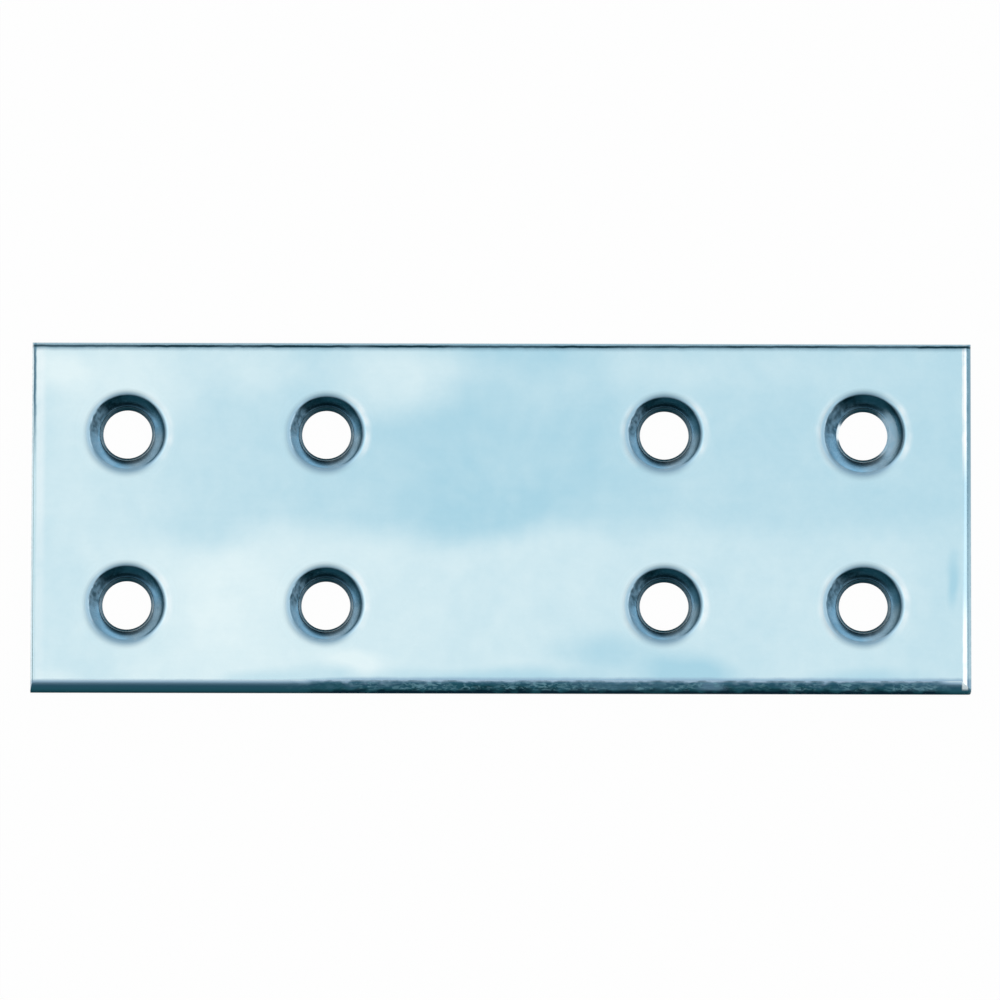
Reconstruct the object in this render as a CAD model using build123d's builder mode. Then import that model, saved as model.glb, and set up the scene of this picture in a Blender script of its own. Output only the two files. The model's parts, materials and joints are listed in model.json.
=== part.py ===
"""Mending plate: a flat steel strip, cut to length, with eight countersunk screw holes.

Millimetres. +X runs along the plate, +Y across it and +Z up through its thickness.
The plate lies face up, with its countersinks open upwards, and the origin is the
middle of its back face.
"""

import os
from math import radians, tan

from build123d import *

# Strip
length = 100.0
width = 37.4
thickness = 2.5

# Sheared edges. A blade draws one face down into a roll, then leaves an upright band,
# and then tears a slope up to the other face, whose edge tumbling rounds into a lip.
# Opposite edges are cut from opposite faces: the back side and the right end roll over
# at the top, and the front side and the left end are torn there.
side_roll = 0.9
side_band = 0.5
side_tear_inset = 0.95
side_lip = 0.8

end_roll = 1.1
end_band = 0.5
end_tear_inset = 0.2
end_lip = 0.25

# Where the right end meets the torn front side, the roll runs down the corner
# and dies out at the back face
corner_roll = 1.2
corner_sharp = 0.05

# Screw holes, in two groups of four, one each side of the joint that the plate covers
left_margin = 10.15
right_margin = 11.45
front_margin = 9.4
back_margin = 9.7
column_pitch = 21.2
bore_radius = 2.6

# Countersinks for the screw heads, sunk a little deeper in the outer columns,
# and deepest in one corner
cone_angle = 94.0
inner_rim = 4.0
outer_rim = 4.15
deepest_rim = 4.35
rim_rounding = 1.0
throat_rounding = 1.3
least_bore = 0.1

# Places that follow from these sizes
middle = (0, 0, thickness / 2)
right_end = length / 2
front_side = -width / 2
left_outer = left_margin - length / 2
left_inner = left_outer + column_pitch
right_outer = length / 2 - right_margin
right_inner = right_outer - column_pitch
front_row = front_margin - width / 2
back_row = width / 2 - back_margin


def sheared_section(plane, span, roll, band, tear_inset, lip):
    """Section between two sheared edges, which is the same turned end for end:
    rolled over at the top right, and torn at the bottom right."""
    top = thickness / 2
    with BuildSketch(plane) as section:
        with BuildLine() as outline:
            FilletPolyline(
                (0, -top),
                (span / 2 - tear_inset, -top),
                (span / 2, top - roll - band),
                (span / 2, top),
                (0, top),
                radius=[lip, 0, roll],
            )
            add(outline.line, rotation=180)
        make_face()
    return section.sketch


def countersunk_hole(rim_radius):
    """Turned shape of one hole, standing on the back face: a straight bore, a rounded
    throat, a cone and a rounded rim, and then the clear space above the face."""
    cone_bottom = thickness - (rim_radius - bore_radius) / tan(radians(cone_angle / 2))
    throat_limit = (cone_bottom - least_bore) / tan(radians(cone_angle / 4))
    mouth_radius = rim_radius + rim_rounding
    with BuildPart() as hole:
        with BuildSketch(Plane.XZ):
            with BuildLine():
                FilletPolyline(
                    (bore_radius, 0),
                    (bore_radius, cone_bottom),
                    (rim_radius, thickness),
                    (mouth_radius, thickness),
                    radius=[min(throat_rounding, throat_limit), rim_rounding],
                )
                Polyline(
                    (mouth_radius, thickness),
                    (mouth_radius, 2 * thickness),
                    (0, 2 * thickness),
                    (0, 0),
                    (bore_radius, 0),
                )
            make_face()
        revolve(axis=Axis.Z)
    return hole.part


def corner_waste(height, radius):
    """What a rounded corner leaves of a square one, at the front of the right end."""
    with BuildSketch(Plane.XY.offset(height)) as waste:
        with BuildLine():
            CenterArc((right_end - radius, front_side + radius), radius, -90, 90)
            Polyline(
                (right_end, front_side + radius),
                (right_end + radius, front_side - radius),
                (right_end - radius, front_side),
            )
        make_face()
    return waste.sketch


across = sheared_section(
    Plane.YZ.shift_origin(middle), width, side_roll, side_band, side_tear_inset, side_lip
)
along = sheared_section(
    Plane.XZ.shift_origin(middle), length, end_roll, end_band, end_tear_inset, end_lip
)

with BuildPart() as plate:
    # The strip's section, its two cut ends, and the corner that the blade drew down
    extrude(across, amount=length / 2, both=True)
    extrude(along, amount=width / 2, both=True, mode=Mode.INTERSECT)
    corner_sections = [corner_waste(0, corner_sharp), corner_waste(thickness, corner_roll)]
    loft(corner_sections, mode=Mode.SUBTRACT)

    # Countersunk holes
    inner_holes = [(x, y) for x in (left_inner, right_inner) for y in (front_row, back_row)]
    outer_holes = [(left_outer, front_row), (left_outer, back_row), (right_outer, front_row)]
    with Locations(*inner_holes):
        add(countersunk_hole(inner_rim), mode=Mode.SUBTRACT)
    with Locations(*outer_holes):
        add(countersunk_hole(outer_rim), mode=Mode.SUBTRACT)
    with Locations((right_outer, back_row)):
        add(countersunk_hole(deepest_rim), mode=Mode.SUBTRACT)

plate.part.label = "plate"
os.makedirs("parts", exist_ok=True)
export_step(plate.part, "parts/plate.step")
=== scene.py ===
"""Zinc plated mending plate, lying face up on a pale studio floor.

Everything is in metres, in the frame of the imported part: +X runs along the plate,
+Y across it towards its back side, and +Z up. The plate is a finely drilled and
finished copy of the part's one solid.
"""

import json
from math import cos, pi, radians, sin, tan

import bpy
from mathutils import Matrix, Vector, noise

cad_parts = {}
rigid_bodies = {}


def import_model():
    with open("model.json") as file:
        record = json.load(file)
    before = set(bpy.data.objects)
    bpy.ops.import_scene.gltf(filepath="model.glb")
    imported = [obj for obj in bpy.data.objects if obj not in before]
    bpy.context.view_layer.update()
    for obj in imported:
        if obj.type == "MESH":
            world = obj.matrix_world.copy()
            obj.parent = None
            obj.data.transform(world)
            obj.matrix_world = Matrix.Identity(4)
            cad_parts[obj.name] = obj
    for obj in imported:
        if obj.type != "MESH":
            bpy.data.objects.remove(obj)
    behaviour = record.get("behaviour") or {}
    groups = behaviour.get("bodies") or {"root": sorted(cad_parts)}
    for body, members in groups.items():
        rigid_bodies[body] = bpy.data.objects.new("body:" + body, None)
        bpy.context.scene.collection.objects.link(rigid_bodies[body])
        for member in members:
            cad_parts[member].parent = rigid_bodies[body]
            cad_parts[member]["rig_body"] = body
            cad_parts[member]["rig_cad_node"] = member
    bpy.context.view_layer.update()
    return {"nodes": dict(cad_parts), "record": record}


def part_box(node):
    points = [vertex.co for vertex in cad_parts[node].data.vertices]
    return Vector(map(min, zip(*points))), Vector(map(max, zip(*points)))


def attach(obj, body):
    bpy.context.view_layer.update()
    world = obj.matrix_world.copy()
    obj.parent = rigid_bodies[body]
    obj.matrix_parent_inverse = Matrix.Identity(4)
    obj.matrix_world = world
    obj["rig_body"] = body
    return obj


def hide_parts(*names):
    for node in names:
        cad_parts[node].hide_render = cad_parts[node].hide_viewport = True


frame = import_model()

MM = 0.001
UP = Vector((0, 0, 1))
low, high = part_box("plate")
half_length = (high.x - low.x) / 2
half_width = (high.y - low.y) / 2
bores = [Vector(mount["pos_m"]) for mount in frame["record"]["mounts"] if mount["kind"] == "bore"]


# Camera, high above the plate and leaning a little towards its front side
CAMERA_TILT = radians(6.0)
CAMERA_ROLL = radians(0.13)
CAMERA_DISTANCE = 1.10
VIEW_WIDTH = 106.35 * MM
VIEW_CENTRE = Vector((0.12 * MM, 1.84 * MM, high.z))
FILM_WIDTH = 36.0
CLIP_RANGE = (0.01, 50.0)


def add_camera():
    """A camera with a long lens that just takes in the plate."""
    data = bpy.data.cameras.new("studio_camera")
    data.sensor_width = FILM_WIDTH
    data.lens = FILM_WIDTH * CAMERA_DISTANCE / VIEW_WIDTH
    data.clip_start, data.clip_end = CLIP_RANGE
    camera = bpy.data.objects.new("studio_camera", data)
    bpy.context.scene.collection.objects.link(camera)
    back = Vector((0, -sin(CAMERA_TILT), cos(CAMERA_TILT)))
    camera.location = VIEW_CENTRE + CAMERA_DISTANCE * back
    camera.rotation_euler = (CAMERA_TILT, 0, CAMERA_ROLL)
    bpy.context.scene.camera = camera


# Node helpers
def new_material(name):
    """A Principled material, its node tree and its shader."""
    material = bpy.data.materials.new(name)
    material.use_nodes = True
    tree = material.node_tree
    return material, tree, tree.nodes["Principled BSDF"]


def feed(tree, socket, value):
    """Set an input socket to a value, or link it to another node's output."""
    if isinstance(value, bpy.types.NodeSocket):
        tree.links.new(value, socket)
    else:
        socket.default_value = value


def add_node(tree, kind, inputs=None, **settings):
    """A new node with its settings made and its inputs fed."""
    node = tree.nodes.new(kind)
    for key, value in settings.items():
        setattr(node, key, value)
    for key, value in (inputs or {}).items():
        feed(tree, node.inputs[key], value)
    return node


def calc(tree, operation, a, b=0.0, clamp=False):
    """One step of arithmetic on values."""
    node = add_node(tree, "ShaderNodeMath", {0: a, 1: b}, operation=operation, use_clamp=clamp)
    return node.outputs[0]


def calc_vector(tree, operation, inputs):
    """One step of arithmetic on vectors."""
    return add_node(tree, "ShaderNodeVectorMath", inputs, operation=operation).outputs[0]


def product(tree, *factors):
    """All the factors multiplied together."""
    result = factors[0]
    for factor in factors[1:]:
        result = calc(tree, "MULTIPLY", result, factor)
    return result


def ramp(tree, value, start, end, before=0.0, after=1.0):
    """The value before until start, after from end on, and a smooth change between."""
    inputs = {"Value": value, "From Min": start, "From Max": end, "To Min": before, "To Max": after}
    node = add_node(tree, "ShaderNodeMapRange", inputs, interpolation_type="SMOOTHSTEP")
    return node.outputs["Result"]


def mix_colour(tree, factor, a, b):
    """Colour a where the factor is 0, and b where it is 1."""
    node = add_node(tree, "ShaderNodeMix", data_type="RGBA")
    for index, value in ((0, factor), (6, a), (7, b)):
        feed(tree, node.inputs[index], value)
    return node.outputs[2]


def attribute(tree, name):
    """One of the masks that mark_finish puts on the plate."""
    return add_node(tree, "ShaderNodeAttribute", attribute_name=name).outputs["Fac"]


def stretched(tree, place, scale):
    """The place, scaled along each axis so that what is drawn there grows longer."""
    return add_node(tree, "ShaderNodeMapping", {"Vector": place, "Scale": scale}).outputs[0]


def cloud(tree, place, scale, detail, distortion=0.0, output="Fac"):
    """Noise from 0 to 1, or as a colour."""
    inputs = {"Vector": place, "Scale": scale, "Detail": detail, "Distortion": distortion}
    return add_node(tree, "ShaderNodeTexNoise", inputs).outputs[output]


def blend_stops(tree, factor, stops, interpolation):
    """A colour that changes from one stop to the next, by (position, colour) stops."""
    node = add_node(tree, "ShaderNodeValToRGB", {"Fac": factor})
    node.color_ramp.interpolation = interpolation
    elements = node.color_ramp.elements
    while len(elements) < len(stops):
        elements.new(0.5)
    for element, (position, colour) in zip(elements, stops):
        element.position = position
        element.color = colour
    return node.outputs["Color"]


# Studio. Overhead is a white tent that grows dim towards its foot, with a window at
# the right, a smaller one at the left over a dark corner, and a dark room in front.
ZENITH = (1.0, 1.0, 1.0, 1.0)
TENT_FOOT = (0.27, 0.38, 0.45, 1.0)
RIGHT_WINDOW = (1.20, 1.22, 1.24, 1.0)
LEFT_WINDOW = (1.14, 1.16, 1.16, 1.0)
LEFT_CORNER = (0.05, 0.12, 0.15, 1.0)
DARK_ROOM = (0.009, 0.046, 0.058, 1.0)

# Where each of them starts and is full, as shares of the way right, left, front or up
MIDDLE = (0.60, 0.35)
RIGHT_JAMB, RIGHT_SILL = (0.25, 0.42), (0.28, 0.40)
LEFT_JAMB, LEFT_SILL = (0.18, 0.32), (0.55, 0.72)
CORNER_SIDE, CORNER_TOP = (0.35, 0.60), (0.60, 0.30)
ROOM_FRONT, ROOM_TOP, ROOM_RIGHT = (0.25, 0.60), (0.80, 0.50), (0.90, 0.62)


def light_studio():
    """Colour the world by direction, from the tent's foot up to its top."""
    world = bpy.data.worlds.new("studio")
    bpy.context.scene.world = world
    world.use_nodes = True
    tree = world.node_tree
    way = add_node(tree, "ShaderNodeTexCoord").outputs["Generated"]
    part = add_node(tree, "ShaderNodeSeparateXYZ", {0: way})
    right, back, up = part.outputs["X"], part.outputs["Y"], part.outputs["Z"]
    left = calc(tree, "MULTIPLY", right, -1.0)
    front = calc(tree, "MULTIPLY", back, -1.0)
    middle = ramp(tree, calc(tree, "ABSOLUTE", back), *MIDDLE)

    colour = mix_colour(tree, calc(tree, "MAXIMUM", up, 0.0), TENT_FOOT, ZENITH)
    window = product(tree, ramp(tree, right, *RIGHT_JAMB), ramp(tree, up, *RIGHT_SILL), middle)
    colour = mix_colour(tree, window, colour, RIGHT_WINDOW)
    window = product(tree, ramp(tree, left, *LEFT_JAMB), ramp(tree, up, *LEFT_SILL), middle)
    colour = mix_colour(tree, window, colour, LEFT_WINDOW)
    corner = product(tree, ramp(tree, left, *CORNER_SIDE), ramp(tree, up, *CORNER_TOP))
    colour = mix_colour(tree, corner, colour, LEFT_CORNER)
    dark = product(tree, ramp(tree, front, *ROOM_FRONT), ramp(tree, up, *ROOM_TOP))
    dark = product(tree, dark, ramp(tree, right, *ROOM_RIGHT))
    colour = mix_colour(tree, dark, colour, DARK_ROOM)
    background = tree.nodes["Background"]
    tree.links.new(colour, background.inputs["Color"])
    background.inputs["Strength"].default_value = 1.0


FLOOR_SIZE = 8.0
FLOOR_DROP = 0.02 * MM
FLOOR_TONE = (0.80, 0.80, 0.80, 1.0)
FLOOR_GLOW = 0.975


def add_floor():
    """A plain floor that looks nearly white and still takes the plate's shadow."""
    bpy.ops.mesh.primitive_plane_add(size=FLOOR_SIZE, location=(0, 0, low.z - FLOOR_DROP))
    floor = bpy.context.object
    floor.name = "studio_floor"
    material, tree, shader = new_material("pale_floor")
    shader.inputs["Base Color"].default_value = FLOOR_TONE
    shader.inputs["Roughness"].default_value = 1.0
    shader.inputs["Specular IOR Level"].default_value = 0.0
    path = add_node(tree, "ShaderNodeLightPath")
    seen = calc(tree, "MAXIMUM", path.outputs["Is Camera Ray"], path.outputs["Is Glossy Ray"])
    seen = calc(tree, "MAXIMUM", seen, path.outputs["Is Transmission Ray"])
    white = add_node(tree, "ShaderNodeEmission", {"Color": (1, 1, 1, 1), "Strength": 1.0})
    share = product(tree, seen, FLOOR_GLOW)
    mix = add_node(tree, "ShaderNodeMixShader", {0: share, 1: shader.outputs[0], 2: white.outputs[0]})
    tree.links.new(mix.outputs[0], tree.nodes["Material Output"].inputs["Surface"])
    floor.data.materials.append(material)


# Effects that the finishes share. The grain is longer than it is wide, and is made of
# drawn lines and fine grit, in these shares.
DRAWN_OUT = (1.0, 14.0, 14.0)
LINE_SHARE, GRIT_SHARE = 0.6, 0.4
# Patches in which the painted highlights and the wear show
HIGHLIGHT_AND_WEAR_PATCHES = (0.30, 0.55, 0.55, 1.0)


def new_group(name, inputs, outputs):
    """An empty node group with named sockets, and what it is given and puts out."""
    group = bpy.data.node_groups.new(name, "ShaderNodeTree")
    for direction, sockets in (("INPUT", inputs), ("OUTPUT", outputs)):
        for label, kind in sockets:
            group.interface.new_socket(label, in_out=direction, socket_type=kind)
    given = group.nodes.new("NodeGroupInput").outputs
    result = group.nodes.new("NodeGroupOutput").inputs
    return group, given, result


def make_mottle():
    """Soft cloudiness of a plated layer: a value about 0, Amount from lightest to darkest."""
    inputs = (
        ("Place", "NodeSocketVector"),
        ("Scale", "NodeSocketFloat"),
        ("Amount", "NodeSocketFloat"),
    )
    group, given, result = new_group("plating_mottle", inputs, (("Tone", "NodeSocketFloat"),))
    soft = cloud(group, given["Place"], given["Scale"], 4.0)
    centred = calc(group, "SUBTRACT", soft, 0.5)
    group.links.new(product(group, centred, given["Amount"]), result["Tone"])
    return group


def make_grain():
    """Grain of rolled steel along X: a roughness that varies, and a height for a bump."""
    inputs = (
        ("Place", "NodeSocketVector"),
        ("Roughness", "NodeSocketFloat"),
        ("Spread", "NodeSocketFloat"),
    )
    outputs = (("Roughness", "NodeSocketFloat"), ("Height", "NodeSocketFloat"))
    group, given, result = new_group("rolled_grain", inputs, outputs)
    lines = cloud(group, stretched(group, given["Place"], DRAWN_OUT), 160.0, 3.0)
    grit = cloud(group, given["Place"], 3000.0, 2.0)
    height = calc(group, "ADD", product(group, lines, LINE_SHARE), product(group, grit, GRIT_SHARE))
    swing = product(group, calc(group, "SUBTRACT", height, 0.5), given["Spread"])
    group.links.new(calc(group, "ADD", given["Roughness"], swing), result["Roughness"])
    group.links.new(height, result["Height"])
    return group


def make_highlight_and_wear():
    """Painted highlights and wear: the colour turns to bright metal where the edge mask says, in
    patches.
    """
    inputs = (
        ("Place", "NodeSocketVector"),
        ("Colour", "NodeSocketColor"),
        ("Bright", "NodeSocketColor"),
        ("Edge", "NodeSocketFloat"),
    )
    group, given, result = new_group("edge_highlight_and_wear", inputs, (("Colour", "NodeSocketColor"),))
    patch = cloud(group, given["Place"], 500.0, 3.0)
    painted_highlight_and_wear = product(group, given["Edge"], ramp(group, patch, *HIGHLIGHT_AND_WEAR_PATCHES))
    group.links.new(mix_colour(group, painted_highlight_and_wear, given["Colour"], given["Bright"]), result["Colour"])
    return group


mottle_group = make_mottle()
grain_group = make_grain()
highlight_and_wear_group = make_highlight_and_wear()


def mottle(tree, place, scale, amount):
    """Cloudiness of this scale, as a value about 0."""
    inputs = {"Place": place, "Scale": scale, "Amount": amount}
    return add_node(tree, "ShaderNodeGroup", inputs, node_tree=mottle_group).outputs["Tone"]


def add_grain(tree, shader, place, roughness, spread, depth):
    """Give a shader the rolled grain, as roughness and as a bump of this depth, and
    return the bump's normal for a second bump to build on."""
    inputs = {"Place": place, "Roughness": roughness, "Spread": spread}
    grain = add_node(tree, "ShaderNodeGroup", inputs, node_tree=grain_group)
    inputs = {"Height": grain.outputs["Height"], "Distance": depth, "Strength": 1.0}
    bump = add_node(tree, "ShaderNodeBump", inputs)
    tree.links.new(grain.outputs["Roughness"], shader.inputs["Roughness"])
    tree.links.new(bump.outputs["Normal"], shader.inputs["Normal"])
    return bump.outputs["Normal"]


def add_highlight_and_wear(tree, place, colour, bright, edge):
    """The colour, turned bright in patches where the edge mask says: painted highlights, and wear
    along the torn lip.
    """
    inputs = {"Place": place, "Colour": colour, "Bright": bright, "Edge": edge}
    return add_node(tree, "ShaderNodeGroup", inputs, node_tree=highlight_and_wear_group).outputs["Colour"]


# The torn front edge. Its lip starts this far in from the front, and below the lip it
# slopes to the foot. The tear fades out towards the left, and clear of both ends.
LIP_INSET = 1.32 * MM
LIP_LINE = LIP_INSET - half_width
END_LAND = 1.6 * MM
TEAR_START = -24.0 * MM
TEAR_FULL = -15.0 * MM

# Finishes, with the colours of the painted highlights and painted shade among them
ZINC_DEEP = (0.41, 0.67, 0.79, 1.0)
ZINC_PALE = (0.77, 0.91, 0.94, 1.0)
# Bright zinc: painted highlights, and wear along the torn lip
HIGHLIGHT_AND_WEAR_ZINC = (0.92, 0.98, 1.00, 1.0)
CUT_ZINC = (0.48, 0.71, 0.86, 1.0)
RIM_ZINC = (0.43, 0.65, 0.82, 1.0)
CUT_ZINC_PALE = (0.63, 0.79, 0.91, 1.0)
# Dark bare steel: in the holes partly oxide and chatter and mostly painted shade, and a painted dark
# line along the back roll
BARE_STEEL_AND_PAINTED_SHADE = (0.010, 0.052, 0.072, 1.0)
# Edge zinc for the score marks, and painted shade along the back roll, the right end and the front
# right corner
SCORE_AND_PAINTED_SHADE_ZINC = (0.18, 0.34, 0.44, 1.0)
# A painted shade line along the left end
PAINTED_SHADE_LINE_ZINC = (0.07, 0.18, 0.26, 1.0)
# Painted shade on the face just inside the front lip
LIP_SHADE = (0.30, 0.46, 0.60, 1.0)

# Tone of the passivated face along the plate, as (share of the length, tone) stops,
# behind and in front of the line where its two baths of colour meet
BEHIND = (
    (0.00, 0.60),
    (0.09, 0.62),
    (0.18, 0.36),
    (0.31, 0.28),
    (0.42, 0.05),
    (0.60, 0.07),
    (0.72, 0.33),
    (1.00, 0.24),
)
IN_FRONT = (
    (0.00, 0.55),
    (0.10, 0.66),
    (0.19, 0.92),
    (0.32, 0.70),
    (0.44, 0.70),
    (0.62, 0.50),
    (0.90, 0.56),
    (1.00, 0.36),
)

# The line lies a little in front of the middle, and sags towards the front in places:
# where, how far along, and how deep
BATH_LINE = (0.9 * MM, -3.5 * MM)
SAGS = (
    (-34.0 * MM, 9.0 * MM, 1.9 * MM),
    (-19.0 * MM, 14.0 * MM, 0.6 * MM),
    (-5.0 * MM, 10.0 * MM, 1.5 * MM),
)

# How closely the tones' borders wander, and how far, and then two sizes of cloudiness:
# each one's scale and amount
TONE_WANDER = (90.0, 4.0 * MM)
WIDE_CLOUDS = (160.0, 0.42)
SMALL_CLOUDS = (600.0, 0.20)

# Small patches on the face: their middle and their half sizes, in millimetres, and how
# much paler they are. The darker ones along the front edge are painted shade that carries
# the lip's painted shade further in, and the narrow one at the right end is a painted
# shade line.
PATCHES = (
    ((-11.0, 15.0), (10.5, 6.5), 0.60),
    ((3.0, 13.5), (8.0, 5.0), 0.20),
    ((-26.0, 15.8), (11.0, 4.5), 0.26),
    ((-39.0, 14.5), (11.0, 7.0), 0.32),
    ((26.0, 15.5), (18.0, 4.0), 0.14),
    ((14.5, 15.0), (10.0, 6.0), 0.22),
    ((-31.0, -11.0), (5.0, 8.0), 0.12),
    ((-47.6, 15.6), (5.0, 3.4), 0.34),
    ((-2.5, 16.6), (6.0, 2.8), 0.20),
    ((12.0, -14.4), (9.0, 3.4), -0.42),
    ((20.0, -17.2), (8.0, 3.6), -0.66),
    ((3.0, -17.6), (13.0, 2.3), -0.50),
    ((-15.6, -15.9), (6.0, 2.0), 0.34),
    ((-26.5, -17.6), (6.0, 1.3), -0.34),
    ((-47.7, -17.0), (4.0, 2.0), 0.26),
    ((-17.0, -17.8), (10.0, 2.2), -0.34),
    ((-7.0, -17.2), (8.0, 2.0), -0.40),
    ((38.0, -17.6), (10.0, 2.2), -0.42),
    ((48.1, -6.5), (0.9, 4.0), -0.40),
)

# How far out from its middle a patch has its full tone, and its size through the plate
PATCH_FULL = 0.1
THROUGH = 1000.0

# Where the long edges and the ends change tone, measured across each one: painted shade
# along the back roll and just inside the front lip, a painted dark line along the roll, and
# painted highlight strips and painted shade lines at the ends
LINE_WANDER = (900.0, 0.16 * MM)
ROLL_LINE = (0.24 * MM, 0.36 * MM, 0.49 * MM, 0.64 * MM)
ROLL_FADE = (1.10 * MM, 0.50 * MM)
LIP_FADE = (1.76 * MM, 1.32 * MM)
END_OUTER = (0.48 * MM, 0.26 * MM)
END_STRIP = (1.05 * MM, 0.85 * MM, 0.60 * MM, 0.40 * MM)
LEFT_LINE = (0.12 * MM, 0.26 * MM, 0.36 * MM, 0.55 * MM)
LEFT_STRIP = (0.45 * MM, 0.65 * MM, 1.00 * MM, 1.70 * MM)

# How they change along the edge, by place or by noise: from where to where, and from
# what to what
ROLL_SHIFT = (0.0, 35.0 * MM, 0.0, 0.06 * MM)
ROLL_THINNER = (0.35, 0.55, 0.72, 1.0)
ROLL_SHADE = 0.72
LIP_LATER = (TEAR_START, TEAR_FULL, 0.30 * MM, 0.0)
END_OUTER_ALONG = (-8.0 * MM, 13.0 * MM, 0.45, 1.0)
END_STRIP_MIDDLE = -2.0 * MM
END_STRIP_GAP = (5.0 * MM, 11.0 * MM)
LEFT_LINE_ALONG = (4.0 * MM, 14.0 * MM, 0.10, 0.95)
LEFT_STRIP_ALONG = (-12.0 * MM, 8.0 * MM, 0.16, 0.40)

# Score marks that the blade left on the cut sides, from top to bottom
SCORE_LENGTHS = (1.0, 1.0, 0.05)
SCORE_SHADE = (0.38, 0.60, 0.55, 0.0)
SCORE_DEPTH = 0.012 * MM

# Rolled grain of each finish: its roughness, how far that varies, and the bump's depth
FACE_GRAIN = (0.22, 0.10, 0.0006 * MM)
CONE_GRAIN = (0.15, 0.10, 0.001 * MM)
TORN_GRAIN = (0.50, 0.20, 0.004 * MM)


def tone_along(tree, along, stops):
    """A tone that changes smoothly along the plate, from one stop to the next."""
    greys = [(share, (tone, tone, tone, 1.0)) for share, tone in stops]
    return blend_stops(tree, along, greys, "B_SPLINE")


def band(tree, value, start, full, end, gone):
    """A mask that rises from start to full and falls from end to gone."""
    return product(tree, ramp(tree, value, start, full), ramp(tree, value, end, gone, 1.0, 0.0))


def wandering(tree, place, scale, reach):
    """The place, moved about a little so that what is drawn there has uneven borders."""
    drift = cloud(tree, place, scale, 2.0, output="Color")
    centred = calc_vector(tree, "SUBTRACT", {0: drift, 1: (0.5, 0.5, 0.5)})
    shift = calc_vector(tree, "SCALE", {0: centred, "Scale": reach})
    return calc_vector(tree, "ADD", {0: place, 1: shift})


def face_tone(tree, place):
    """How pale the passivated face is, from 0 to 1."""
    moved = wandering(tree, place, *TONE_WANDER)
    part = add_node(tree, "ShaderNodeSeparateXYZ", {0: moved})
    inputs = {"Value": part.outputs["X"], "From Min": low.x, "From Max": high.x}
    along = add_node(tree, "ShaderNodeMapRange", inputs).outputs["Result"]
    across = part.outputs["Y"]
    for middle, reach, depth in SAGS:
        away = calc(tree, "ABSOLUTE", calc(tree, "SUBTRACT", part.outputs["X"], middle))
        across = calc(tree, "ADD", across, ramp(tree, away, 0.0, reach, depth, 0.0))

    meeting = add_node(tree, "ShaderNodeMix", {0: ramp(tree, across, *BATH_LINE)})
    feed(tree, meeting.inputs[2], tone_along(tree, along, BEHIND))
    feed(tree, meeting.inputs[3], tone_along(tree, along, IN_FRONT))
    tone = meeting.outputs[0]
    # Patches of tone; the darker ones along the front edge are painted shade
    for middle, reach, paler in PATCHES:
        centre, size = Vector((*middle, 0.0)) * MM, Vector((*reach, THROUGH)) * MM
        inputs = {"Vector": moved, "Location": centre, "Scale": size}
        patch = add_node(tree, "ShaderNodeMapping", inputs, vector_type="TEXTURE")
        away = add_node(tree, "ShaderNodeVectorMath", {0: patch.outputs[0]}, operation="LENGTH")
        tone = calc(tree, "ADD", tone, ramp(tree, away.outputs["Value"], PATCH_FULL, 1.0, paler, 0.0))
    tone = calc(tree, "ADD", tone, mottle(tree, place, *WIDE_CLOUDS))
    return calc(tree, "ADD", tone, mottle(tree, place, *SMALL_CLOUDS), clamp=True)


def shade_ends(tree, place, colour, part):
    """Painted highlight strips and painted shade lines along the right and left ends."""
    across = part.outputs["Y"]
    from_right = calc(tree, "SUBTRACT", high.x, part.outputs["X"])
    from_left = calc(tree, "SUBTRACT", part.outputs["X"], low.x)
    off_middle = calc(tree, "ABSOLUTE", calc(tree, "ADD", across, -END_STRIP_MIDDLE))

    strip = band(tree, from_right, *reversed(END_STRIP))
    strip = product(tree, strip, ramp(tree, off_middle, *END_STRIP_GAP))
    colour = add_highlight_and_wear(tree, place, colour, HIGHLIGHT_AND_WEAR_ZINC, strip)
    strip = band(tree, from_left, *LEFT_STRIP)
    strip = product(tree, strip, ramp(tree, across, *LEFT_STRIP_ALONG))
    colour = add_highlight_and_wear(tree, place, colour, HIGHLIGHT_AND_WEAR_ZINC, strip)
    outer = product(tree, ramp(tree, from_right, *END_OUTER), ramp(tree, across, *END_OUTER_ALONG))
    colour = mix_colour(tree, outer, colour, SCORE_AND_PAINTED_SHADE_ZINC)
    line = product(tree, band(tree, from_left, *LEFT_LINE), ramp(tree, across, *LEFT_LINE_ALONG))
    return mix_colour(tree, line, colour, PAINTED_SHADE_LINE_ZINC)


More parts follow.
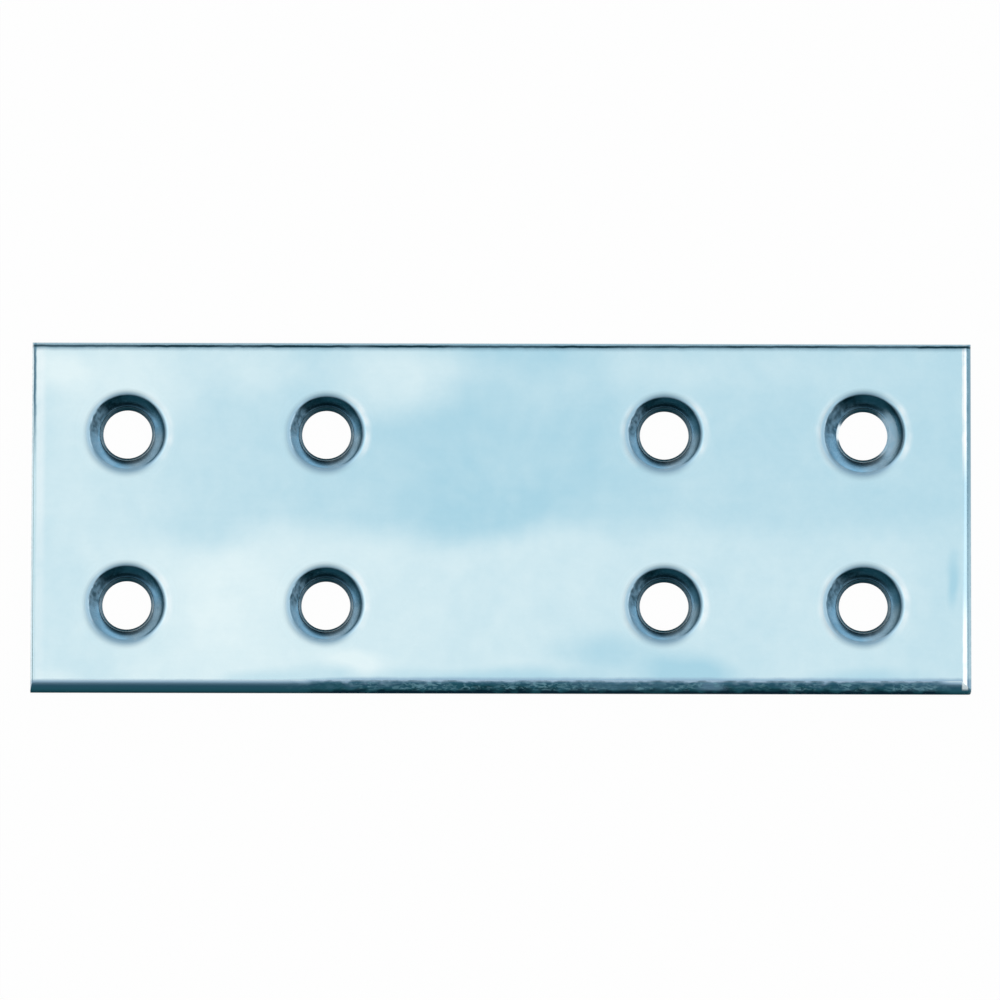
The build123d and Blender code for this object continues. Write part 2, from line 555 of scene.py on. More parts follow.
def zinc_face():
    """Blue passivated face: pale at the left and in front, deeper across the middle."""
    material, tree, shader = new_material("blue_zinc_face")
    place = add_node(tree, "ShaderNodeTexCoord").outputs["Object"]
    colour = mix_colour(tree, face_tone(tree, place), ZINC_DEEP, ZINC_PALE)

    # Its four edges: painted shade just inside the front lip and along the back roll, and the
    # ends' painted highlights and painted shade lines
    part = add_node(tree, "ShaderNodeSeparateXYZ", {0: wandering(tree, place, *LINE_WANDER)})
    along, across = part.outputs["X"], part.outputs["Y"]
    from_front = calc(tree, "SUBTRACT", across, low.y)
    later = ramp(tree, along, *LIP_LATER)
    fade = ramp(tree, calc(tree, "ADD", from_front, later), *LIP_FADE)
    colour = mix_colour(tree, fade, colour, LIP_SHADE)
    colour = shade_ends(tree, place, colour, part)
    from_back = calc(tree, "SUBTRACT", high.y, across)
    from_back = calc(tree, "ADD", from_back, ramp(tree, along, *ROLL_SHIFT))
    shaded = product(tree, ramp(tree, from_back, *ROLL_FADE), ROLL_SHADE)
    colour = mix_colour(tree, shaded, colour, SCORE_AND_PAINTED_SHADE_ZINC)

    # The rims of its holes, with their painted highlights and painted shade, and a painted dark
    # line along the back roll
    colour = mix_colour(tree, attribute(tree, "cut"), colour, RIM_ZINC)
    colour = mix_colour(tree, attribute(tree, "painted_highlight_and_wear"), colour, HIGHLIGHT_AND_WEAR_ZINC)
    thinner = cloud(tree, place, 120.0, 2.0)
    roll = product(tree, band(tree, from_back, *ROLL_LINE), ramp(tree, thinner, *ROLL_THINNER))
    bare_and_painted_shade = calc(tree, "MAXIMUM", roll, attribute(tree, "bare_and_painted_shade"))
    colour = mix_colour(tree, bare_and_painted_shade, colour, BARE_STEEL_AND_PAINTED_SHADE)

    # The score marks
    score = cloud(tree, stretched(tree, place, SCORE_LENGTHS), 2400.0, 3.0)
    sheared = attribute(tree, "sheared")
    scored = product(tree, sheared, ramp(tree, score, *SCORE_SHADE))
    colour = mix_colour(tree, scored, colour, SCORE_AND_PAINTED_SHADE_ZINC)
    tree.links.new(colour, shader.inputs["Base Color"])
    shader.inputs["Metallic"].default_value = 1.0
    inputs = {
        "Height": product(tree, score, sheared),
        "Distance": SCORE_DEPTH,
        "Strength": 1.0,
        "Normal": add_grain(tree, shader, place, *FACE_GRAIN),
    }
    scratched = add_node(tree, "ShaderNodeBump", inputs)
    tree.links.new(scratched.outputs["Normal"], shader.inputs["Normal"])
    return material


# How the tool's chatter flecks the cone, and how it shows through the painted shade that
# is drawn as bare steel
CONE_FLECK = (0.46, 0.66, 0.0, 0.5)
FLECK_THROUGH = 0.26
SOLID_BARE = (0.70, 1.0, 1.0, 0.0)


def countersink_zinc():
    """Thinner plating over a cone that chattered under the tool, with painted shade drawn as bare
    steel in its throat and round its rim, and painted highlights.
    """
    material, tree, shader = new_material("countersink_zinc")
    place = add_node(tree, "ShaderNodeTexCoord").outputs["Object"]
    fleck = ramp(tree, cloud(tree, place, 1300.0, 3.0, 0.6), *CONE_FLECK)
    colour = mix_colour(tree, fleck, CUT_ZINC, CUT_ZINC_PALE)
    colour = add_highlight_and_wear(tree, place, colour, HIGHLIGHT_AND_WEAR_ZINC, attribute(tree, "painted_highlight_and_wear"))
    bare_and_painted_shade = attribute(tree, "bare_and_painted_shade")
    through = product(tree, fleck, FLECK_THROUGH, bare_and_painted_shade, ramp(tree, bare_and_painted_shade, *SOLID_BARE))
    bare_and_painted_shade = calc(tree, "SUBTRACT", bare_and_painted_shade, through, clamp=True)
    colour = mix_colour(tree, bare_and_painted_shade, colour, BARE_STEEL_AND_PAINTED_SHADE)
    tree.links.new(colour, shader.inputs["Base Color"])

    # Where it is dull, most of all in the throat, it has no metal's shine
    metal = ramp(tree, attribute(tree, "dull"), 0.0, 1.0, 1.0, 0.0)
    tree.links.new(metal, shader.inputs["Metallic"])
    shader.inputs["Specular IOR Level"].default_value = 0.0
    add_grain(tree, shader, place, *CONE_GRAIN)
    return material


# Colour of the torn edge, from just above its lip down to its foot, and of its flecks. It
# darkens downwards, partly dark torn steel and partly painted shade; its first stops carry
# the lip's painted shade
TORN_ABOVE = 0.25
TORN_COLOURS = (
    (-0.25, (0.78, 0.92, 0.97, 1.0)),
    (-0.10, (0.44, 0.62, 0.74, 1.0)),
    (0.00, (0.30, 0.46, 0.60, 1.0)),
    (0.13, (0.13, 0.25, 0.34, 1.0)),
    (0.28, (0.040, 0.135, 0.20, 1.0)),
    (0.55, (0.026, 0.130, 0.175, 1.0)),
    (0.76, (0.010, 0.065, 0.085, 1.0)),
    (0.90, (0.003, 0.024, 0.042, 1.0)),
)
TORN_FLECK = (0.22, 0.45, 0.54, 1.0)
TORN_WASH = (0.15, 0.30, 0.42, 1.0)
PAINTED_CORNER_HIGHLIGHT = (0.88, 0.98, 1.00, 1.0)

# The painted highlight strip that wraps round the front right corner, with painted shade
# beside it, how far down it runs, and how metallic the edge is, off the strip and on it
WRAP_STRIP = (1.10 * MM, 0.95 * MM, 0.46 * MM, 0.32 * MM)
WRAP_DOWN = (0.78, 0.52)
WRAP_METAL = (0.0, 1.0, 0.35, 0.0)

# Levels down the edge, from 0 at the lip to 1 at the foot: the slope that is flecked, the
# lip that is worn and its share, how much further down the tones lie where the edge is
# smooth, and the palest level that ragged borders reach where it is torn
TORN_SLOPE = (0.08, 0.30, 0.60, 0.86)
TORN_LIP = (-0.02, 0.04, 0.10, 0.20)
LIP_WEAR = 0.10
SMOOTH_LOWER = 0.22
TORN_PALEST = -0.03

# Ragged borders and flecks, a little longer than they are high, and washes of plating
LONG_GRAIN = (0.55, 1.0, 1.0)
RAGGED = 1.15
FLECK_GRAIN = (0.44, 0.64)
FLECK_PATCHES = (0.42, 0.60, 0.16, 0.80)
WASH_CLOUDS = (0.50, 0.68, 0.0, 0.34)

# Where more of the plating was left: the place along the edge, the reach and the share
WASHES = (
    (22.3 * MM, 2.4 * MM, 0.90),
    (12.0 * MM, 6.5 * MM, 0.38),
    (44.5 * MM, 4.0 * MM, 0.30),
)


def torn_tones(tree, long_grain, down, torn):
    """Colours from the lip down to the foot, with ragged borders where the edge tore."""
    ragged = calc(tree, "SUBTRACT", cloud(tree, long_grain, 1250.0, 4.0), 0.5)
    ragged = product(tree, ragged, RAGGED, torn)
    lower = ramp(tree, torn, 0.0, 1.0, SMOOTH_LOWER, 0.0)
    level = calc(tree, "SUBTRACT", calc(tree, "ADD", down, ragged), lower)
    palest = ramp(tree, torn, 0.0, 1.0, -TORN_ABOVE, TORN_PALEST)
    level = calc(tree, "MAXIMUM", level, palest)
    span = 1.0 + TORN_ABOVE
    share = product(tree, calc(tree, "ADD", level, TORN_ABOVE), 1.0 / span)
    stops = [((level + TORN_ABOVE) / span, colour) for level, colour in TORN_COLOURS]
    return blend_stops(tree, share, stops, "LINEAR")


def torn_edge_zinc():
    """Sheared edge: torn and flecked below the lip, darker down to its foot, partly as painted shade,
    with a painted highlight round its front right corner.
    """
    material, tree, shader = new_material("torn_edge_zinc")
    place = add_node(tree, "ShaderNodeTexCoord").outputs["Object"]
    down, torn = attribute(tree, "down"), attribute(tree, "torn")
    along = add_node(tree, "ShaderNodeSeparateXYZ", {0: place}).outputs["X"]
    from_right = calc(tree, "SUBTRACT", high.x, along)
    long_grain = stretched(tree, place, LONG_GRAIN)
    colour = torn_tones(tree, long_grain, down, torn)

    slope = band(tree, down, *TORN_SLOPE)
    wash = ramp(tree, cloud(tree, place, 260.0, 3.0), *WASH_CLOUDS)
    for middle, reach, share in WASHES:
        away = calc(tree, "ABSOLUTE", calc(tree, "SUBTRACT", along, middle))
        wash = calc(tree, "ADD", wash, ramp(tree, away, 0.0, reach, share, 0.0), clamp=True)
    colour = mix_colour(tree, product(tree, wash, slope, torn), colour, TORN_WASH)

    fleck = ramp(tree, cloud(tree, long_grain, 2600.0, 4.0, 0.8), *FLECK_GRAIN)
    patch = ramp(tree, cloud(tree, place, 330.0, 3.0), *FLECK_PATCHES)
    colour = mix_colour(tree, product(tree, fleck, patch, slope, torn), colour, TORN_FLECK)
    lip = product(tree, band(tree, down, *TORN_LIP), torn, LIP_WEAR)
    colour = add_highlight_and_wear(tree, place, colour, HIGHLIGHT_AND_WEAR_ZINC, lip)

    # Painted shade beside a painted highlight strip round the front right corner
    upper = ramp(tree, down, *WRAP_DOWN)
    corner = product(tree, ramp(tree, from_right, *WRAP_STRIP[1:3]), upper)
    colour = mix_colour(tree, corner, colour, SCORE_AND_PAINTED_SHADE_ZINC)
    wrap = product(tree, band(tree, from_right, *reversed(WRAP_STRIP)), upper)
    colour = mix_colour(tree, wrap, colour, PAINTED_CORNER_HIGHLIGHT)
    tree.links.new(colour, shader.inputs["Base Color"])
    tree.links.new(ramp(tree, wrap, *WRAP_METAL), shader.inputs["Metallic"])
    shader.inputs["Specular IOR Level"].default_value = 0.0
    add_grain(tree, shader, place, *TORN_GRAIN)
    return material


# Sizes of the holes, which the plate's solid has too
BORE_RADIUS = 2.6 * MM
CONE_ANGLE = radians(94)
RIM_ROUNDING = 1.0 * MM
THROAT_ROUNDING = 1.3 * MM
HOLE_REACH = 6.3 * MM

# The cutters that drill them, and how finely they are turned
CUTTER_CLEARANCE = 1.0 * MM
TURNING_STEPS = 96
ARC_STEPS = 12
CONE_STEPS = 4

# The tool pressed the face down a little around each hole, from where the rim runs out
RUN_OUT = radians(3)
DISH_WIDTH = 1.3 * MM
DISH_DEPTH = 0.010 * MM
DISH_STEPS = 6
DISH_OVERSHOOT = 0.001 * MM

# Points nearer than this are one, a face whose normal stands straighter than this is
# flat, and faces that turn less than this are one flat face
MERGE = 0.001 * MM
FLAT = 0.9999
SAME_FACE = radians(0.05)


def select_only(piece):
    """Select one piece alone, and make it the active one."""
    bpy.ops.object.select_all(action="DESELECT")
    piece.select_set(True)
    bpy.context.view_layer.objects.active = piece


def select_parts(piece, mode, wanted):
    """In edit mode, select the faces or edges for which wanted(part) holds."""
    bpy.ops.mesh.select_mode(type=mode)
    bpy.ops.mesh.select_all(action="DESELECT")
    bpy.ops.object.mode_set(mode="OBJECT")
    for part in piece.data.polygons if mode == "FACE" else piece.data.edges:
        part.select = wanted(part)
    bpy.ops.object.mode_set(mode="EDIT")


def nearest_bore(place):
    """The number of the bore whose axis is nearest, and the distance to that axis."""
    reaches = [(bore.xy - place.xy).length for bore in bores]
    reach = min(reaches)
    return reaches.index(reach), reach


def is_in_hole(face):
    """Whether a face is a hole's own: it slopes or stands, and lies within its reach."""
    return abs(face.normal.z) < FLAT and nearest_bore(face.center)[1] < HOLE_REACH


def merged_copy():
    """A copy of the plate's solid, with its loose triangles merged into faces."""
    solid = frame["nodes"]["plate"]
    plate = solid.copy()
    plate.data = solid.data.copy()
    plate.name = "zinc_plate"
    plate.parent = None
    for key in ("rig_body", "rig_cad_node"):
        if key in plate:
            del plate[key]
    bpy.context.scene.collection.objects.link(plate)
    select_only(plate)
    bpy.ops.object.mode_set(mode="EDIT")
    bpy.ops.mesh.select_all(action="SELECT")
    bpy.ops.mesh.customdata_custom_splitnormals_clear()
    bpy.ops.mesh.remove_doubles(threshold=MERGE)
    bpy.ops.object.mode_set(mode="OBJECT")
    return plate


def mouth_radii(plate):
    """How wide each hole opens at the face, read from its outermost sloping faces."""
    mouths = [0.0] * len(bores)
    for face in plate.data.polygons:
        if abs(face.normal.z) < FLAT:
            for corner in face.vertices:
                number, reach = nearest_bore(plate.data.vertices[corner].co)
                if reach < HOLE_REACH:
                    mouths[number] = max(mouths[number], reach)
    return mouths


def close_holes(plate):
    """Take the coarse holes out and close the plate, ready to be drilled again."""
    bpy.ops.object.mode_set(mode="EDIT")
    select_parts(plate, "FACE", is_in_hole)
    bpy.ops.mesh.delete(type="FACE")
    bpy.ops.mesh.select_all(action="SELECT")
    bpy.ops.mesh.fill_holes(sides=0)
    bpy.ops.mesh.select_all(action="SELECT")
    bpy.ops.mesh.dissolve_limited(angle_limit=SAME_FACE)
    bpy.ops.object.mode_set(mode="OBJECT")


def arc_points(centre, height, radius, start, end):
    """Points of a rounding, from one lean of its surface to another."""
    points = []
    for step in range(ARC_STEPS + 1):
        lean = start + (end - start) * step / ARC_STEPS
        points.append((centre - radius * sin(lean), height + radius * cos(lean)))
    return points


def cone_points(bottom, top):
    """Points that divide the straight cone between its two roundings."""
    points = []
    for step in range(1, CONE_STEPS):
        share = step / CONE_STEPS
        reach = bottom[0] + (top[0] - bottom[0]) * share
        points.append((reach, bottom[1] + (top[1] - bottom[1]) * share))
    return points


def dish_points(mouth):
    """Points of the shallow dish, from the mouth out to a hair above the face."""
    points = []
    for step in range(1, DISH_STEPS + 1):
        share = step / DISH_STEPS
        fall = DISH_DEPTH * (1 - share) ** 2 - DISH_OVERSHOOT * share
        points.append((mouth + DISH_WIDTH * share, high.z - fall))
    return points


def hole_profile(mouth):
    """Half section of a hole's cutter, as (radius, height) points from its foot up."""
    wall = radians(90) - CONE_ANGLE / 2
    rim = mouth - RIM_ROUNDING * tan(wall / 2)
    cone_bottom = high.z - (rim - BORE_RADIUS) / tan(CONE_ANGLE / 2)
    throat_height = cone_bottom - THROAT_ROUNDING * tan(CONE_ANGLE / 4)
    throat_centre = BORE_RADIUS + THROAT_ROUNDING
    rim_height = high.z - DISH_DEPTH - RIM_ROUNDING
    throat = arc_points(throat_centre, throat_height, THROAT_ROUNDING, radians(90), wall)
    rounded_rim = arc_points(mouth, rim_height, RIM_ROUNDING, wall, RUN_OUT)
    cone = cone_points(throat[-1], rounded_rim[0])
    foot, top = low.z - CUTTER_CLEARANCE, high.z + CUTTER_CLEARANCE
    start = [(0.0, foot), (BORE_RADIUS, foot)]
    end = [(mouth + DISH_WIDTH, top), (0.0, top)]
    return start + throat + cone + rounded_rim + dish_points(mouth) + end


def turned_cutter(bore, mouth):
    """A hole's section turned about the bore's axis."""
    mesh = bpy.data.meshes.new("countersink_cutter")
    points = [(bore.x + reach, bore.y, height) for reach, height in hole_profile(mouth)]
    mesh.from_pydata(points, [(i, i + 1) for i in range(len(points) - 1)], [])
    cutter = bpy.data.objects.new("countersink_cutter", mesh)
    bpy.context.scene.collection.objects.link(cutter)
    select_only(cutter)
    bpy.ops.object.mode_set(mode="EDIT")
    bpy.ops.mesh.select_all(action="SELECT")
    axis_foot = (bore.x, bore.y, 0)
    bpy.ops.mesh.spin(steps=TURNING_STEPS, angle=2 * pi, center=axis_foot, axis=(0, 0, 1))
    bpy.ops.mesh.select_all(action="SELECT")
    bpy.ops.mesh.remove_doubles(threshold=MERGE)
    bpy.ops.mesh.normals_make_consistent(inside=False)
    bpy.ops.object.mode_set(mode="OBJECT")
    return cutter


def drill_holes(plate, mouths):
    """Cut the eight holes with turned cutters: bore, rounded throat, cone and rim."""
    cutters = [turned_cutter(bore, mouth) for bore, mouth in zip(bores, mouths)]
    select_only(cutters[0])
    for cutter in cutters:
        cutter.select_set(True)
    bpy.ops.object.join()
    select_only(plate)
    cut = plate.modifiers.new("drill", "BOOLEAN")
    cut.operation, cut.solver, cut.object = "DIFFERENCE", "EXACT", cutters[0]
    bpy.ops.object.modifier_apply(modifier=cut.name)
    bpy.data.objects.remove(cutters[0])


def smooth(value, start, end):
    """0 until start, 1 from end on, and a smooth change between."""
    share = min(max((value - start) / (end - start), 0.0), 1.0)
    return share * share * (3 - 2 * share)


def down_front(place):
    """How far down the front edge a place is: 0 at the lip and 1 at the foot."""
    return min(max((LIP_LINE - place.y) / LIP_INSET, 0.0), 1.0)


def tear_share(x):
    """How far the front edge is torn at a place along it, from 0 to 1."""
    clear_of_end = smooth(x, high.x - END_LAND, high.x - 3 * END_LAND)
    return smooth(x, TEAR_START, TEAR_FULL) * clear_of_end


# The grid that the torn edge is cut into: how often, what it leaves out, and the shortest
# edges that run along it and down it
COLUMN_CUTS = (100, 4)
ROW_CUTS = 9
SLACK = 0.01 * MM
GRID_FOOT = 0.5 * MM
LEAST_LEAN = 0.05
LEAST_RUN = 0.3 * MM
LEAST_DROP = 0.7 * MM

# The pits in it: their two sizes, each a scale and a share, how open they are, where they
# deepen and end on the way down, and what stays clear of them
PIT_DEPTH = 0.035 * MM
PIT_SEED = Vector((3.1, 7.7, 1.9))
WIDE_PITS, SMALL_PITS = (1.3, 0.55), (4.5, 0.45)
PIT_OPEN = (-0.25, 0.30)
PIT_TOP, PIT_BOTTOM = (0.40, 0.55), (0.74, 0.88)
PIT_FOOT = 0.9 * MM
PIT_CLEAR = 0.05 * MM


def is_front_face(face):
    """Whether a face is part of the front slope."""
    leans_out = face.normal.y < -LEAST_LEAN and face.normal.z > LEAST_LEAN
    return leans_out and face.center.y < LIP_LINE


def edge_ends(plate, edge):
    """The two places that an edge joins."""
    return [plate.data.vertices[corner].co for corner in edge.vertices]


def in_front_grid(ends):
    """Whether an edge lies in the part of the front slope that is cut finely."""
    inside = all(end.y < SLACK + LIP_LINE and end.z > GRID_FOOT for end in ends)
    return inside and all(abs(end.x) < half_length - END_LAND + SLACK for end in ends)


def runs_along(ends):
    """Whether it also runs along the plate, and is long enough to cut."""
    return in_front_grid(ends) and abs(ends[0].x - ends[1].x) > LEAST_RUN


def runs_down(ends):
    """Whether it also runs straight down the slope, and is long enough to cut."""
    upright = abs(ends[0].x - ends[1].x) < SLACK
    return in_front_grid(ends) and upright and (ends[0] - ends[1]).length > LEAST_DROP


def pit_depth(place):
    """How deep the steel is pitted at a place on the torn edge."""
    spot = place / MM
    wide = noise.noise(spot * WIDE_PITS[0] + PIT_SEED)
    small = noise.noise(spot * SMALL_PITS[0] - PIT_SEED)
    pit = smooth(WIDE_PITS[1] * wide + SMALL_PITS[1] * small, *PIT_OPEN)
    down = down_front(place)
    on_slope = smooth(down, *PIT_TOP) * (1 - smooth(down, *PIT_BOTTOM))
    return PIT_DEPTH * pit * on_slope * tear_share(place.x)


def tear_front(plate):
    """Cut the front edge into a fine grid, and pit it where the steel tore."""
    bpy.ops.object.mode_set(mode="EDIT")
    for x in (low.x + END_LAND, high.x - END_LAND):
        select_parts(plate, "FACE", is_front_face)
        bpy.ops.mesh.bisect(plane_co=(x, 0, 0), plane_no=(1, 0, 0))
    for cuts in COLUMN_CUTS:
        select_parts(plate, "EDGE", lambda edge: runs_along(edge_ends(plate, edge)))
        bpy.ops.mesh.subdivide(number_cuts=cuts)
    select_parts(plate, "EDGE", lambda edge: runs_down(edge_ends(plate, edge)))
    bpy.ops.mesh.subdivide(number_cuts=ROW_CUTS)
    bpy.ops.object.mode_set(mode="OBJECT")

    inward = Vector((0, 1, -1)).normalized()
    for vertex in plate.data.vertices:
        place = vertex.co
        below_lip = place.y <= LIP_LINE - PIT_CLEAR and place.z >= PIT_FOOT
        if below_lip and abs(place.x) <= half_length - END_LAND:
            vertex.co += inward * pit_depth(place)


# Marks round each hole. A side is named by how far it lies to the right and to the back,
# from -1 to 1, and inside is how far a place lies in from the mouth. First, where the tool
# cut through the plating; on its front and left sides this reaches softly out past the
# mouth as painted soft shade.
SOFT_FRONT, SOFT_LEFT = 0.80, 0.35
CUT_FADE = (-0.35 * MM, 0.62 * MM)

# Bands of painted shade under the rim, drawn as bare steel: how bare, where each starts and
# is full, where it fades and is gone, and the share that then stays. Then the sides that
# they keep to.
LEFT_BAND = (0.34, -0.15 * MM, 0.35 * MM, 0.45 * MM, 0.80 * MM, 0.5)
BACK_BAND = (0.45, -0.22 * MM, 0.40 * MM, 0.40 * MM, 0.65 * MM, 0.0)
FRONT_BAND = (0.28, -0.45 * MM, 0.30 * MM, 0.45 * MM, 0.75 * MM, 0.0)
RIGHT_BAND = (0.50, 0.22 * MM, 0.42 * MM, 0.70 * MM, 0.95 * MM, 0.0)
LEFT_SIDE = (0.30, 0.90)
SOFT_SIDE = (0.20, 0.80)
RIGHT_SIDE = (0.45, 0.85)
NOT_FRONT = (-0.72, -0.30)

# The ring of painted shade at the bore, drawn as bare steel: its width, and the more of it
# in front and at the back; how bare it is, and the more in front and the more at the back;
# and half its border
RING_WIDTH, RING_WIDER = 0.30 * MM, 0.48 * MM
RING_BARE, RING_FRONT, RING_BACK = 0.30, 0.44, 0.62
RING_BORDER = 0.14 * MM

# The throat, by its lean: dark bare steel, partly oxide in the hollow and partly painted
# shade that is stronger in front and at the back; how bare, and where it bares and dulls
THROAT_BARE, THROAT_BARER = 0.64, 0.35
THROAT_LEAN = (radians(46), radians(56))
DULL_LEAN = (radians(47), radians(60))

# Painted shade on the back left of each cone, drawn as bare steel and mottled by the tool's
# chatter: its side, and how bare its cone is
PAINTED_SHADE_WAY = Vector((-0.77, 0.64))
PAINTED_SHADE_SIDE = (0.55, 0.90)
PAINTED_SHADE_BARE, CHATTER_BARE = 0.46, 0.38
PAINTED_SHADE_INSIDE = (0.28 * MM, 0.64 * MM)
CHATTER_SCALES = (2.3, 6.1)
CHATTER_FINE = 0.5
CHATTER_RANGE = (-0.25, 0.30)

# The painted highlight halo round the rim, uneven, and on its right and left sides
HALO_INNER, HALO_OUTER = (0.28 * MM, 0.06 * MM), (-0.02 * MM, -0.62 * MM)
HALO_SCALE = 0.9
HALO_LEAST, HALO_MORE = 0.55, 0.9
HALO_RANGE = (-0.4, 0.5)
HALO_RIGHT, HALO_RIGHT_SIDE, HALO_NOT_FRONT = 0.46, (0.30, 0.85), (-0.75, -0.30)
HALO_LEFT, HALO_LEFT_SIDE, HALO_LEFT_ALONG = 0.34, (0.50, 0.90), (4.0 * MM, 18.0 * MM)

# Painted light on the front right of each cone, bright and a little dull, above the throat
PAINTED_LIGHT_SIDE = (0.70, 1.25)
PAINTED_LIGHT_INSIDE = (0.45 * MM, 0.75 * MM)
PAINTED_LIGHT_BRIGHT, PAINTED_LIGHT_DULL = 0.50, 0.30
PAINTED_LIGHT_LEAN = (radians(54), radians(46))

# The deepest hole: a painted glint on the left of its throat, painted light on its dull
# right side, and more painted shade on its right
GLINT_LEAN = (radians(46), radians(58))
GLINT_SIDE = (0.70, 0.85)
GLINT_BACK, GLINT_REACH = 0.12, (0.20, 0.42)
LIT_SIDE = (0.50, 0.90)
LIT_INSIDE = (0.95 * MM, 1.30 * MM)
LIT_DULL = 0.72
DEEPEST_BARER = 1.5


def rim_band(inside, side, share, start, full, fading, gone, stays):
    """How bare a band under the rim is, at a place this far inside the mouth."""
    bare_and_painted_shade = share * smooth(inside, start, full) * side
    return bare_and_painted_shade * (1 - (1 - stays) * smooth(inside, fading, gone))


def chattered_shade(place, arm, inside):
    """How much painted shade, mottled by the tool's chatter, the cone has on its back left side."""
    spot = Vector((place.x, place.y, 2 * place.z)) / MM
    coarse, fine = (noise.noise(spot * scale) for scale in CHATTER_SCALES)
    chatter = smooth(coarse + CHATTER_FINE * fine, *CHATTER_RANGE)
    shaded_side = smooth(arm.normalized().dot(PAINTED_SHADE_WAY), *PAINTED_SHADE_SIDE)
    return shaded_side * (PAINTED_SHADE_BARE + CHATTER_BARE * chatter) * smooth(inside, *PAINTED_SHADE_INSIDE)


def halo_share(place, right, back, inside):
    """How strong the painted highlight halo round the rim is."""
    patchy = smooth(noise.noise(place / MM * HALO_SCALE), *HALO_RANGE)
    halo = (HALO_LEAST + HALO_MORE * patchy) * smooth(inside, *HALO_INNER)
    halo *= 1 - smooth(inside, *HALO_OUTER)
    on_right = HALO_RIGHT * smooth(right, *HALO_RIGHT_SIDE) * smooth(back, *HALO_NOT_FRONT)
    on_left = HALO_LEFT * smooth(-right, *HALO_LEFT_SIDE) * smooth(place.x, *HALO_LEFT_ALONG)
    return halo * max(on_right, on_left)


def mark_hole(place, lean, bore, mouth, deepest):
    """Masks near a hole: cut through the plating, painted shade drawn as bare steel, painted
    highlights, and dull.
    """
    arm = (place - bore).xy
    reach = arm.length
    right, back = arm.normalized()
    inside = mouth - reach
    front_share, back_share = max(0.0, -back), max(0.0, back)
    soft_side = min(max(SOFT_FRONT * front_share - SOFT_LEFT * right, 0.0), 1.0)
    cut = smooth(inside, CUT_FADE[0] * soft_side, CUT_FADE[1])

    ring_edge = BORE_RADIUS + RING_WIDTH + RING_WIDER * abs(back)
    ring = RING_BARE + RING_FRONT * front_share + RING_BACK * back_share
    ring *= smooth(reach, ring_edge + RING_BORDER, ring_edge - RING_BORDER)
    throat = (THROAT_BARE + THROAT_BARER * abs(back)) * smooth(lean, *THROAT_LEAN)
    left_band = rim_band(inside, smooth(-right, *LEFT_SIDE), *LEFT_BAND)
    back_band = rim_band(inside, back_share ** 2, *BACK_BAND)
    front_band = rim_band(inside, smooth(soft_side, *SOFT_SIDE), *FRONT_BAND)
    right_band = rim_band(inside, smooth(right, *RIGHT_SIDE), *RIGHT_BAND)
    right_band *= smooth(back, *NOT_FRONT)
    bands = max(left_band, back_band, front_band, right_band)
    bare_and_painted_shade = max(ring, throat, bands, chattered_shade(place, arm, inside))

    painted_light = smooth(right - back, *PAINTED_LIGHT_SIDE) * smooth(inside, *PAINTED_LIGHT_INSIDE)
    painted_highlight_and_wear = max(halo_share(place, right, back, inside), PAINTED_LIGHT_BRIGHT * painted_light)
    painted_highlight_and_wear = min(painted_highlight_and_wear, 1.0)
    painted_light_dull = PAINTED_LIGHT_DULL * painted_light * smooth(lean, *PAINTED_LIGHT_LEAN)
    dull = max(smooth(lean, *DULL_LEAN), painted_light_dull)
    if deepest:
        glint = smooth(lean, *GLINT_LEAN) * smooth(-right, *GLINT_SIDE)
        glint *= 1 - smooth(abs(back - GLINT_BACK), *GLINT_REACH)
        lit = smooth(right, *LIT_SIDE) * smooth(inside, *LIT_INSIDE)
        bare_and_painted_shade = max(bare_and_painted_shade, DEEPEST_BARER * right_band) * (1 - glint) * (1 - lit)
        painted_highlight_and_wear = max(painted_highlight_and_wear * (1 - lit), glint)
        dull = max(dull * (1 - glint), LIT_DULL * lit)
    return cut, bare_and_painted_shade, painted_highlight_and_wear, dull


# The marks round a hole fade out over the last part of its dish. The score marks are on
# the sides that stand up, whichever way these lean.
MARKS_KEPT = 0.8
SIDE_STANDS = (radians(48), radians(72))
SIDE_TURNS_UNDER = (radians(125), radians(105))


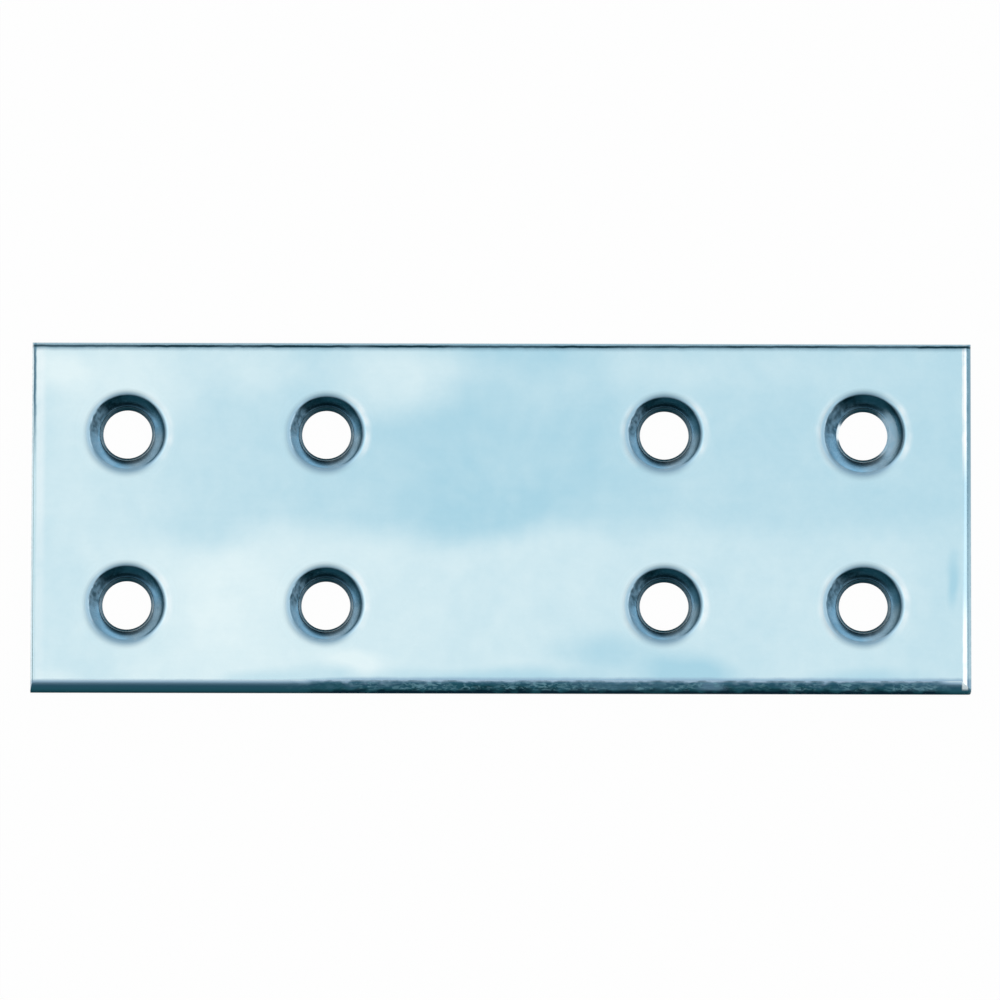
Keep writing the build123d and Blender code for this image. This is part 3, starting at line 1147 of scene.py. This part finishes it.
def mark_finish(plate, mouths):
    """Masks that the finishes read, worked out from each vertex's place and lean."""
    names = ("cut", "bare_and_painted_shade", "painted_highlight_and_wear", "dull", "torn", "down", "sheared")
    for name in names:
        plate.data.attributes.new(name, "FLOAT", "POINT")
    masks = [plate.data.attributes[name].data for name in names]
    for vertex in plate.data.vertices:
        place = vertex.co
        lean = vertex.normal.angle(UP)
        cut = bare_and_painted_shade = painted_highlight_and_wear = dull = sheared = 0.0
        number, reach = nearest_bore(place)
        mouth = mouths[number]
        if reach < mouth + DISH_WIDTH + SLACK:
            deepest = mouth == max(mouths)
            cut, bare_and_painted_shade, painted_highlight_and_wear, dull = mark_hole(place, lean, bores[number], mouth, deepest)
            kept = smooth(reach, mouth + DISH_WIDTH, mouth + MARKS_KEPT * DISH_WIDTH)
            cut, bare_and_painted_shade, painted_highlight_and_wear = cut * kept, bare_and_painted_shade * kept, painted_highlight_and_wear * kept
        if reach >= HOLE_REACH:
            sheared = smooth(lean, *SIDE_STANDS) * smooth(lean, *SIDE_TURNS_UNDER)
        down = down_front(place)
        torn = tear_share(place.x) if down > 0 else 0.0
        for mask, value in zip(masks, (cut, bare_and_painted_shade, painted_highlight_and_wear, dull, torn, down, sheared)):
            mask[vertex.index].value = value


# A hole's face belongs to its cone from this lean on, and a front face is torn between
# these two
CONE_LEAN = radians(26)
TORN_LEAN = (radians(1), radians(95))

# Faces that turn less than this are shaded as one, and large ones count this much more
SHADE_ANGLE = radians(32)
LARGE_FACES_LEAD = 90


def assign_finishes(plate):
    """Give each face the plate's, a countersink's or the torn edge's finish."""
    mesh = plate.data
    mesh.materials.clear()
    for material in (zinc_face(), countersink_zinc(), torn_edge_zinc()):
        mesh.materials.append(material)
    for face in mesh.polygons:
        lean = face.normal.angle(UP)
        face.material_index = 0
        if is_in_hole(face):
            if lean > CONE_LEAN:
                face.material_index = 1
        elif face.center.y < LIP_LINE and TORN_LEAN[0] < lean < TORN_LEAN[1]:
            face.material_index = 2


def make_plate():
    """The plate, drilled finely, torn along its front and given its finishes."""
    plate = merged_copy()
    mouths = mouth_radii(plate)
    close_holes(plate)
    drill_holes(plate, mouths)
    tear_front(plate)
    mark_finish(plate, mouths)
    assign_finishes(plate)
    select_only(plate)
    bpy.ops.object.shade_smooth_by_angle(angle=SHADE_ANGLE)
    weight = plate.modifiers.new("flat_faces_first", "WEIGHTED_NORMAL")
    weight.keep_sharp = True
    weight.weight = LARGE_FACES_LEAD
    bpy.ops.object.modifier_apply(modifier=weight.name)
    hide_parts("plate")
    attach(plate, "root")


add_camera()
light_studio()
add_floor()
make_plate()

bpy.context.scene.view_settings.view_transform = "Standard"
